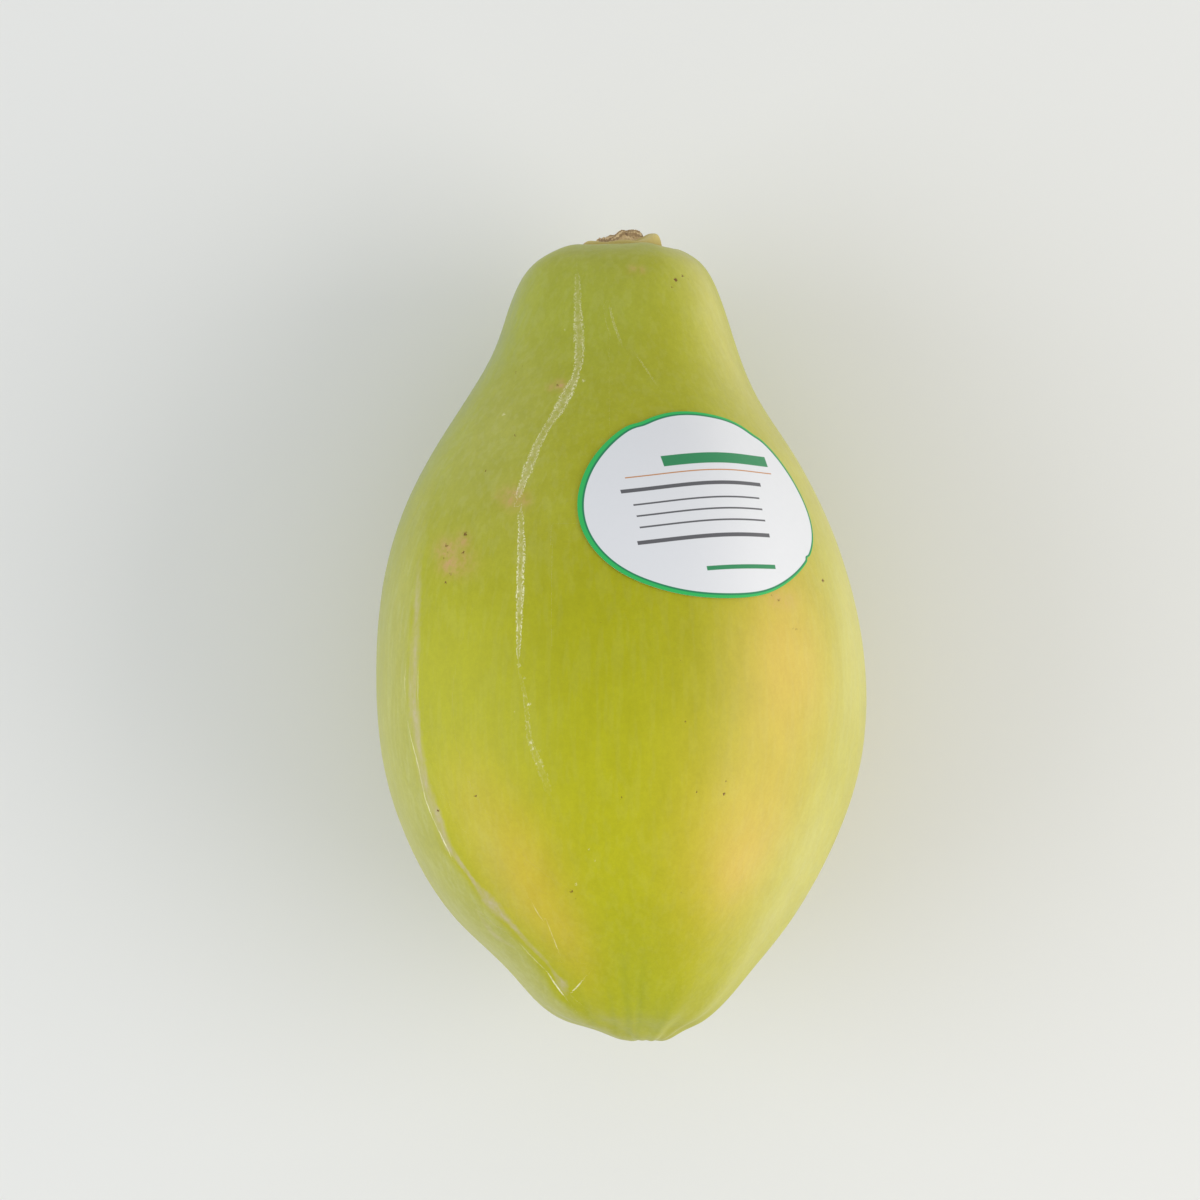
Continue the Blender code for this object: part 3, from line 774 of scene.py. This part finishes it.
# The right-hand lobes are fleshy round this turn, past this share of the way to the edge.
FLESHY_TURN = math.radians(25)
FLESHY_EDGE = (math.radians(78), math.radians(96))
FLESHY_SHARE = (0.64, 0.69)
# The stalk ends between these shares. It is torn, and the whole stub is creased and fibrous. The lobes carry
# a painted highlight along their crest.
STALK_END = (0.56, 0.68)
STALK_SINK = 0.00012
TEAR_SIZE = 0.0007
TEAR_HEIGHT = 0.00012
CREASE_SIZE = 0.0016
CREASE_HEIGHT = 0.00010
WANDER_SIZE = 0.0013
FIBRES_ROUND = 46
FIBRE_HEIGHT = 0.00008
CREST_SHARE = 0.86
CREST_WIDTH = 0.10
NOISE_OCTAVES = 3


def lobes_at(turn):
    """How high the calyx lobes stand at this turn round the stub."""
    height = np.zeros_like(turn)
    for at, rise in LOBES:
        height = height + rise * np.exp(-((turned_from(turn, math.radians(at)) / LOBE_WIDTH) ** 2))
    return height


def stub_height(share, turn):
    """Height of the stub's outer face over the rim's plane, at a share of the way to its edge."""
    inside = np.clip(1 - ((share - LOBE_MIDDLE) / LOBE_REACH) ** LOBE_FULLNESS, 0, 1)
    torn = STALK_RISE + STALK_SLOPE * share * np.sin(turn) - STALK_FALL * share**2
    for count, start, size in STALK_TEARS:
        torn = torn + share * size * np.sin(count * turn + start)
    torn = torn - PITH_DEPTH * np.exp(-((share / PITH_SHARE) ** 4))
    stalk = 1 / (1 + np.exp((share - STALK_SHARE) / STALK_EDGE))
    return stalk * torn + (1 - stalk) * lobes_at(turn) * inside


def stub_place(share, turn, height):
    """Where a point of the stub lies, at a share of the way to its edge and a height over the rim's plane."""
    reach = share * (STUB_RADIUS + STUB_BULGE * lobes_at(turn))
    up = reach * np.cos(turn)
    across = STATIONS[0][2] * FRUIT_RADIUS + reach * np.sin(turn)
    return lying(np.stack([across, BOX_MIDDLE_ALONG + height - END_LEAN * up, up], axis=-1))


shares = np.linspace(0, 1, STUB_RINGS + 1)[:0:-1]
stub_turns = np.arange(STUB_SIDES) * 2 * math.pi / STUB_SIDES
share_grid, stub_turn_grid = np.meshgrid(shares, stub_turns, indexing="ij")
height = stub_height(share_grid, stub_turn_grid)
plain_stub = stub_place(share_grid, stub_turn_grid, height)
stalk_part = 1 - smooth_step(share_grid, *STALK_END)
torn = rough_noise(plain_stub * np.array([1.0, 0.25, 1.0]), TEAR_SIZE, NOISE_OCTAVES)
creased = rough_noise(plain_stub, CREASE_SIZE, NOISE_OCTAVES)
wander = rough_noise(plain_stub * np.array([0.5, 1.0, 1.0]), WANDER_SIZE, NOISE_OCTAVES)
fleshy = 1 - smooth_step(turned_from(stub_turn_grid, FLESHY_TURN), *FLESHY_EDGE)
fleshy = fleshy * smooth_step(share_grid + 0.02 * torn, *FLESHY_SHARE)
layer = STALK_LAYERS * share_grid + LAYER_WANDER * wander + LAYER_TWIST * np.sin(2 * stub_turn_grid + 0.8)
layer = layer - np.floor(layer)
broken = smooth_step(layer, 0.0, LAYER_LIP)
ragged = LAYER_DEPTH * (layer - broken) * stalk_part * smooth_step(share_grid, 0.05, 0.2)
raised = CREASE_HEIGHT * creased * (1 - 0.8 * fleshy) * smooth_step(height, 0.0, 0.0008)
raised = TEAR_HEIGHT * torn * stalk_part + raised
ridge_fibres = FIBRE_HEIGHT * np.sin(FIBRES_ROUND * stub_turn_grid + 3 * creased)
ridge_fibres = ridge_fibres * smooth_step(share_grid, 0.3, 0.6) * (1 - fleshy)
height = height + (raised + ridge_fibres) * (1 - smooth_step(share_grid, 0.97, 1.0))
flake = np.exp(-((turned_from(stub_turn_grid, FLAKE_TURN) / FLAKE_HALF_TURN) ** 2))
flake = flake * np.exp(-(((share_grid - FLAKE_SHARE) / FLAKE_HALF_SHARE) ** 2))
height = height + ragged - STALK_SINK * stalk_part + FLAKE_RISE * flake
crest_highlight = np.exp(-(((share_grid - CREST_SHARE) / CREST_WIDTH) ** 2)) * smooth_step(height, 0.0004, 0.0012)
stub_rings = stub_place(share_grid, stub_turn_grid, height)
foot_height = STUB_GAP - STATIONS[0][0] * FRUIT_LENGTH
foot = stub_place(STUB_FOOT_SHARE, stub_turns, np.full(STUB_SIDES, foot_height))
brim = stub_place(1.0, stub_turns, np.full(STUB_SIDES, -STUB_GAP / 2))
stub_rings = np.concatenate([[foot, brim], stub_rings])
foot_pole = stub_place(0.0, np.zeros(1), np.full(1, foot_height))[0]
outer_pole = stub_rings[-1].mean(0)


def with_base(rows):
    """The rows of values with the stub's two hidden base rings added."""
    return np.concatenate([rows[:1], rows[:1], rows])


stub_values = {
    "fleshy": with_base(fleshy),
    "torn": with_base(torn),
    "layer": with_base(layer * stalk_part + 0.6 * (1 - stalk_part)),
    "crest_highlight": with_base(crest_highlight),
}
stalk_stub = closed_mesh("stalk_stub", stub_rings, foot_pole, outer_pole, stub_values)

DRY_BROWN = (0.50, 0.335, 0.145)
# Painted shade in the stub's cracks and under its torn layers.
CRACK_SHADE = (0.16, 0.088, 0.036)
# Pale fibres, and the painted highlight on the torn layers.
PALE_FIBRE_AND_HIGHLIGHT = (0.82, 0.64, 0.36)
FLESHY_LOBE = (0.50, 0.40, 0.10)
# Painted highlight along the lobes' crest.
FLESHY_CREST_HIGHLIGHT = (0.68, 0.58, 0.22)

dry_stalk = bpy.data.materials.new("dry_stalk_dressed")
dry_stalk.use_nodes = True
tree = dry_stalk.node_tree
shader = tree.nodes["Principled BSDF"]
fibres = placed(tree, mottle, Cells=1900.0, Stretch=6.0, Spread=0.22)
stains = placed(tree, mottle, Cells=420.0, Stretch=1.0, Spread=0.20)
torn_value = point_value(tree, "torn")
layer_value = point_value(tree, "layer")
# Painted shade: the deepest dips of the torn face are dark.
colour = mixed(tree, faded(tree, torn_value, -0.85, -0.45), CRACK_SHADE, DRY_BROWN)
colour = mixed(tree, maths(tree, "MULTIPLY", fibres, 0.40), colour, PALE_FIBRE_AND_HIGHLIGHT)
# Painted highlight: the upper part of each torn layer, up to its lip, is paler.
colour = mixed(tree, maths(tree, "MULTIPLY", faded(tree, layer_value, 0.60, 0.95), 0.60), colour, PALE_FIBRE_AND_HIGHLIGHT)
# Painted shade under each torn layer's broken edge.
cliff_shade = maths(tree, "MULTIPLY", faded(tree, layer_value, 0.0, 0.10), faded(tree, layer_value, 0.36, 0.24))
colour = mixed(tree, maths(tree, "MULTIPLY", cliff_shade, 0.55), colour, CRACK_SHADE)
# Painted highlight along the crest of the fleshy lobes.
flesh = mixed(tree, point_value(tree, "crest_highlight"), FLESHY_LOBE, FLESHY_CREST_HIGHLIGHT)
flesh = mixed(tree, maths(tree, "MULTIPLY", stains, 0.16), flesh, DRY_BROWN)
colour = mixed(tree, faded(tree, point_value(tree, "fleshy"), 0.3, 0.7), colour, flesh)
fibre_height = maths(tree, "MULTIPLY_ADD", stains, 0.6, fibres)
bump = add_node(tree, "ShaderNodeBump", {"Strength": 0.6, "Distance": 0.0001, "Height": fibre_height})
tree.links.new(colour, shader.inputs["Base Color"])
tree.links.new(maths(tree, "MULTIPLY_ADD", fibres, 0.15, 0.62), shader.inputs["Roughness"])
tree.links.new(bump.outputs["Normal"], shader.inputs["Normal"])
stalk_stub.data.materials.append(dry_stalk)
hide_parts("stem_stub")
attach(stalk_stub, "root")


# The label: an oval of coated white paper with two blunt corners on its upper edge, printed with a green rim,
# one green bar and some ruled lines. It is stuck on the right shoulder and cockles a little at its edge.

LABEL_EDGE = (
    (-169, 0.0236),
    (-150, 0.0224),
    (-132, 0.0199),
    (-115, 0.0181),
    (-90, 0.0168),
    (-60, 0.0174),
    (-42, 0.0188),
    (-26, 0.0211),
    (-14, 0.0232),
    (-3, 0.0242),
    (14, 0.0230),
    (38, 0.0208),
    (58, 0.0193),
    (80, 0.0176),
    (100, 0.0177),
    (125, 0.0186),
    (150, 0.0200),
    (172, 0.0222),
)
LABEL_ALONG = 0.0488
LABEL_TURN = math.radians(26.2)
CORNER_DEPTH = 0.0007
CORNERS_MIDDLE = math.radians(86.5)
CORNERS_APART = math.radians(77)
CORNER_SHARPNESS = 0.05
PAPER_THICKNESS = 0.00012
PAPER_GLUE = 0.00008
PAPER_INSET = 0.00022
PRINT_SLANT = math.radians(6)
NICK_TURN = math.radians(-21)
NICK_DEPTH = 0.0004
NICK_HALF_TURN = 0.02
COCKLE_REACH = 0.0016
COCKLE_LEAST = 0.00004
COCKLE_WAVES = 0.00007
COCKLE_CORNER = 0.00012
COCKLE_TURN = math.radians(40)
COCKLE_HALF_TURN = 0.7
LABEL_RINGS = 70
LABEL_SIDES = 400


def walk_at(along):
    """The walking distance at which the skin past the rim has come this far along the fruit."""
    walk = np.linspace(0, SKIN_WALK, 2000)
    reached = cubic_spline(KNOTS, ROWS, walk)[0][:, 0]
    past_rim = reached.argmin()
    return float(np.interp(along, reached[past_rim:], walk[past_rim:]))


def label_outline(turn):
    """Distance from the label's middle to its edge, at an angle from its right-hand end."""
    stops = np.array(LABEL_EDGE)
    round_again = np.concatenate([stops[-3:] - (360, 0), stops, stops[:3] + (360, 0)])
    within_turn = (turn + math.pi) % (2 * math.pi) - math.pi
    oval = cubic_spline(np.radians(round_again[:, 0]), round_again[:, 1:], within_turn)[0][..., 0]
    to_corner = turned_from(turn, CORNERS_MIDDLE) / (CORNERS_APART / 2)
    between = 1 / (1 + np.exp((to_corner - 1) / CORNER_SHARPNESS))
    nick = NICK_DEPTH * np.exp(-((turned_from(turn, NICK_TURN) / NICK_HALF_TURN) ** 2))
    return oval - CORNER_DEPTH * to_corner**2 * between - nick - PAPER_INSET


def label_flat(share, turn):
    """The place on the flat label, right and up from its middle, at a share of the way to its edge."""
    reach = share * label_outline(turn)
    return reach * np.cos(turn), reach * np.sin(turn)


def label_place(share, turn, lift):
    """Where a point of the label lies, wrapped round the fruit at this height over the skin."""
    right, up = label_flat(share, turn)
    walk = walk_at(LABEL_ALONG) - up
    radius = cubic_spline(KNOTS, ROWS, walk)[0][..., 1]
    return skin(walk, LABEL_TURN + right / radius, lift)


label_shares = np.linspace(0, 1, LABEL_RINGS + 1)[1:]
label_turns = np.arange(LABEL_SIDES) * 2 * math.pi / LABEL_SIDES
label_share_grid, label_turn_grid = np.meshgrid(label_shares, label_turns, indexing="ij")
right, up = label_flat(label_share_grid, label_turn_grid)
print_right = right * math.cos(PRINT_SLANT) + up * math.sin(PRINT_SLANT)
print_up = up * math.cos(PRINT_SLANT) - right * math.sin(PRINT_SLANT)
edge_gap = (1 - label_share_grid) * label_outline(label_turn_grid)
loose = np.exp(-edge_gap / COCKLE_REACH)
waves = 0.5 + 0.5 * np.sin(5 * label_turn_grid + 1.2) * np.sin(2 * label_turn_grid + 0.4)
upper_right = np.exp(-((turned_from(label_turn_grid, COCKLE_TURN) / COCKLE_HALF_TURN) ** 2))
cockle = loose * (COCKLE_LEAST + COCKLE_WAVES * waves + COCKLE_CORNER * upper_right)
lift = PAPER_GLUE + cockle
under = label_place(label_share_grid, label_turn_grid, lift)
over = label_place(label_share_grid, label_turn_grid, lift + PAPER_THICKNESS)
centres = label_place(np.zeros(2), np.zeros(2), np.array([PAPER_GLUE, PAPER_GLUE + PAPER_THICKNESS]))
label_values = {
    "right": MM * np.concatenate([print_right, print_right[::-1]]),
    "up": MM * np.concatenate([print_up, print_up[::-1]]),
    "edge_gap": MM * np.concatenate([edge_gap, edge_gap[::-1]]),
    "printed": np.concatenate([np.zeros_like(right), np.ones_like(right)]),
}
label_rings = np.concatenate([under, over[::-1]])
paper_label = closed_mesh("paper_label", label_rings, centres[0], centres[1], label_values)
paper_label.data.set_sharp_from_angle(angle=math.radians(50))

# The print: each bar is (middle right, middle up, half length, half height, colour), in millimetres. The
# rim's two greens end at these distances from the edge, and the rim is a little wider on the left.
RIM_GREEN = (0.020, 0.47, 0.10)
RIM_DARK = (0.008, 0.22, 0.090)
BAR_GREEN = (0.025, 0.25, 0.095)
BAR_OCHRE = (0.55, 0.25, 0.10)
INK_GREY = (0.11, 0.11, 0.12)
PAPER_WHITE = (0.76, 0.77, 0.80)
PAPER_SHADE = (0.64, 0.65, 0.68)
RIM_DARK_END = (0.82, 0.74)
RIM_GREEN_END = (0.50, 0.40)
RIM_WIDENING = 0.014
PRINTED_BARS = (
    (3.9, 7.9, 10.8, 1.0, BAR_GREEN),
    (0.6, 5.6, 14.4, 0.11, BAR_OCHRE),
    (-2.2, 3.2, 13.0, 0.34, INK_GREY),
    (-2.2, 0.6, 11.6, 0.15, INK_GREY),
    (-2.2, -1.4, 11.6, 0.15, INK_GREY),
    (-2.2, -3.4, 11.6, 0.15, INK_GREY),
    (-2.6, -6.0, 12.2, 0.34, INK_GREY),
    (2.4, -11.4, 7.0, 0.36, BAR_GREEN),
)

bar_mask, given, out = shader_group(
    "printed_bar",
    {"Right": "Float", "Up": "Float", "Half Length": "Float", "Half Height": "Float"},
    {"Mask": "Float"},
)
past_end = maths(bar_mask, "SUBTRACT", maths(bar_mask, "ABSOLUTE", given["Right"]), given["Half Length"])
past_side = maths(bar_mask, "SUBTRACT", maths(bar_mask, "ABSOLUTE", given["Up"]), given["Half Height"])
past_edge = maths(bar_mask, "MAXIMUM", past_end, past_side)
bar_mask.links.new(faded(bar_mask, past_edge, 0.04, -0.04), out["Mask"])

label_paper = bpy.data.materials.new("label_paper_dressed")
label_paper.use_nodes = True
tree = label_paper.node_tree
shader = tree.nodes["Principled BSDF"]
right_value = point_value(tree, "right")
up_value = point_value(tree, "up")
on_face = faded(tree, point_value(tree, "printed"), 0.4, 0.6)
fibre = placed(tree, mottle, Cells=900.0, Stretch=1.0, Spread=0.3)
colour = mixed(tree, maths(tree, "MULTIPLY", fibre, 0.06), PAPER_WHITE, PAPER_SHADE)
for at_right, at_up, half_length, half_height, ink in PRINTED_BARS:
    mask = placed(
        tree,
        bar_mask,
        Right=maths(tree, "SUBTRACT", right_value, at_right),
        Up=maths(tree, "SUBTRACT", up_value, at_up),
        Half_Length=half_length,
        Half_Height=half_height,
    )
    colour = mixed(tree, maths(tree, "MULTIPLY", mask, on_face), colour, ink)
rim_gap = maths(tree, "MULTIPLY_ADD", right_value, RIM_WIDENING, point_value(tree, "edge_gap"))
for end, green in ((RIM_DARK_END, RIM_DARK), (RIM_GREEN_END, RIM_GREEN)):
    colour = mixed(tree, maths(tree, "MULTIPLY", faded(tree, rim_gap, *end), on_face), colour, green)
bump = add_node(tree, "ShaderNodeBump", {"Strength": 0.10, "Distance": 0.00003, "Height": fibre})
tree.links.new(colour, shader.inputs["Base Color"])
tree.links.new(maths(tree, "MULTIPLY_ADD", fibre, 0.06, 0.36), shader.inputs["Roughness"])
tree.links.new(bump.outputs["Normal"], shader.inputs["Normal"])
paper_label.data.materials.append(label_paper)
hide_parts("label")
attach(paper_label, "root")


# The table: a plain pale sheet that the fruit lies on, under soft white light from both sides. The camera
# looks straight down on it.

FLOOR_SIZE = 4.0
FLOOR_COLOUR = (0.80, 0.80, 0.78)
SKY_COLOUR = (0.95, 0.97, 1.0)
SKY_STRENGTH = 0.62
SOFT_LIGHTS = (
    ("left_softbox", (-0.75, -0.10, 0.38), 3.8, (0.93, 0.97, 1.0), (0.7, 1.0)),
    ("right_softbox", (0.75, -0.15, 0.38), 5.4, (1.0, 0.96, 0.88), (0.7, 1.0)),
)
LIGHT_AIM = (0, 0, 0.03)
CAMERA_HEIGHT = 0.75
CAMERA_ACROSS = -0.00357
CAMERA_ALONG = 0.00577
PIXEL = 0.00017
FRAME_PIXELS = 1200
SENSOR_WIDTH = 36.0

floor_mesh = bpy.data.meshes.new("floor")
half = FLOOR_SIZE / 2
floor_corners = [(-half, -half, 0), (half, -half, 0), (half, half, 0), (-half, half, 0)]
floor_mesh.from_pydata(floor_corners, [], [(0, 1, 2, 3)])
floor = bpy.data.objects.new("floor", floor_mesh)
bpy.context.scene.collection.objects.link(floor)
floor_paint = bpy.data.materials.new("floor_pale")
floor_paint.use_nodes = True
floor_shader = floor_paint.node_tree.nodes["Principled BSDF"]
floor_shader.inputs["Base Color"].default_value = (*FLOOR_COLOUR, 1.0)
floor_shader.inputs["Roughness"].default_value = 0.8
floor_mesh.materials.append(floor_paint)

sky = bpy.data.worlds.new("soft_sky")
sky.use_nodes = True
sky.node_tree.nodes["Background"].inputs["Color"].default_value = (*SKY_COLOUR, 1.0)
sky.node_tree.nodes["Background"].inputs["Strength"].default_value = SKY_STRENGTH
bpy.context.scene.world = sky

for name, place, power, tint, size in SOFT_LIGHTS:
    lamp = bpy.data.lights.new(name, "AREA")
    lamp.shape = "RECTANGLE"
    lamp.size, lamp.size_y = size
    lamp.energy = power
    lamp.color = tint
    lit = bpy.data.objects.new(name, lamp)
    lit.location = place
    lit.rotation_euler = (Vector(LIGHT_AIM) - Vector(place)).to_track_quat("-Z", "Y").to_euler()
    lit.visible_camera = False
    bpy.context.scene.collection.objects.link(lit)

camera_data = bpy.data.cameras.new("camera")
camera_data.sensor_width = SENSOR_WIDTH
camera_data.lens = SENSOR_WIDTH * (CAMERA_HEIGHT - AXIS_HEIGHT) / (PIXEL * FRAME_PIXELS)
camera_data.clip_start = 0.01
camera = bpy.data.objects.new("camera", camera_data)
camera.location = (CAMERA_ACROSS, CAMERA_ALONG, CAMERA_HEIGHT)
bpy.context.scene.collection.objects.link(camera)
bpy.context.scene.camera = camera
bpy.context.scene.view_settings.view_transform = "Standard"
